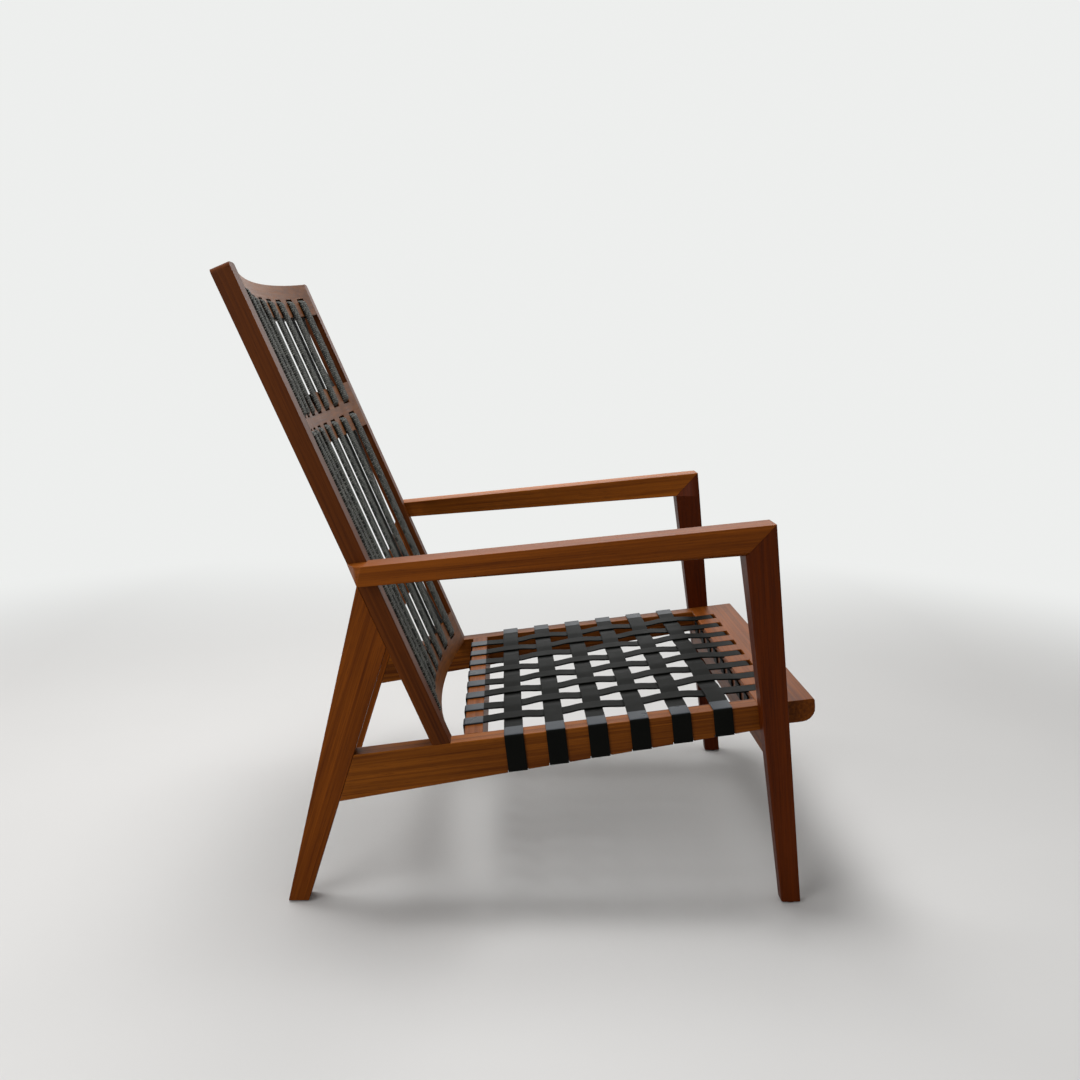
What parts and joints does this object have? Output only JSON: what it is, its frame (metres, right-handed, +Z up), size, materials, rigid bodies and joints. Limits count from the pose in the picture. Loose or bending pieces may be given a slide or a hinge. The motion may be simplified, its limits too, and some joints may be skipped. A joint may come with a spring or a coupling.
{
  "type": "strap seat lounge chair",
  "caption": "Low reclined wooden lounge chair with flat mitred arms, a seat woven from black leather straps and a bowed back with braided bands between its rails.",
  "frame": {"origin": "on the floor, under the middle of the bounding box", "axes": "+X is the way the sitter faces, +Y is the sitter's left, +Z is up"},
  "size_m": [0.8582, 0.6596, 0.9127],
  "materials": {
    "walnut": "oiled, satin, reddish brown",
    "strap_leather": "smooth black, satin, with glossy edges",
    "band_braid": "fine charcoal braid with lighter flecks",
    "bolt_steel": "plain, sealed in the wood",
    "glide_nylon": "matte, nearly black"
  },
  "bodies": {
    "root": {"side_rail_right": "walnut", "back_stile_right": "walnut", "rear_leg_right": "walnut", "front_leg_right": "walnut", "arm_right": "walnut", "rail_dowel_right": "walnut", "side_rail_left": "walnut", "back_stile_left": "walnut", "rear_leg_left": "walnut", "front_leg_left": "walnut", "arm_left": "walnut", "rail_dowel_left": "walnut", "seat_front_rail": "walnut", "seat_rear_rail": "walnut", "front_stretcher": "walnut", "back_top_rail": "walnut", "back_middle_rail": "walnut", "back_bottom_rail": "walnut", "cross_strap_1": "strap_leather", "cross_strap_2": "strap_leather", "cross_strap_3": "strap_leather", "cross_strap_4": "strap_leather", "cross_strap_5": "strap_leather", "cross_strap_6": "strap_leather", "long_strap_1": "strap_leather", "long_strap_2": "strap_leather", "long_strap_3": "strap_leather", "long_strap_4": "strap_leather", "long_strap_5": "strap_leather", "long_strap_6": "strap_leather", "long_strap_7": "strap_leather", "long_strap_8": "strap_leather", "back_band_upper_1": "band_braid", "back_band_upper_2": "band_braid", "back_band_upper_3": "band_braid", "back_band_upper_4": "band_braid", "back_band_upper_5": "band_braid", "back_band_upper_6": "band_braid", "back_band_upper_7": "band_braid", "back_band_upper_8": "band_braid", "back_band_lower_1": "band_braid", "back_band_lower_2": "band_braid", "back_band_lower_3": "band_braid", "back_band_lower_4": "band_braid", "back_band_lower_5": "band_braid", "back_band_lower_6": "band_braid", "back_band_lower_7": "band_braid", "back_band_lower_8": "band_braid", "leg_bolt_right": "bolt_steel", "stretcher_bolt_right": "bolt_steel", "arm_bolt_right": "bolt_steel", "leg_bolt_left": "bolt_steel", "stretcher_bolt_left": "bolt_steel", "arm_bolt_left": "bolt_steel", "rear_glide_right": "glide_nylon", "front_glide_right": "glide_nylon", "rear_glide_left": "glide_nylon", "front_glide_left": "glide_nylon"}
  },
  "joints": []
}
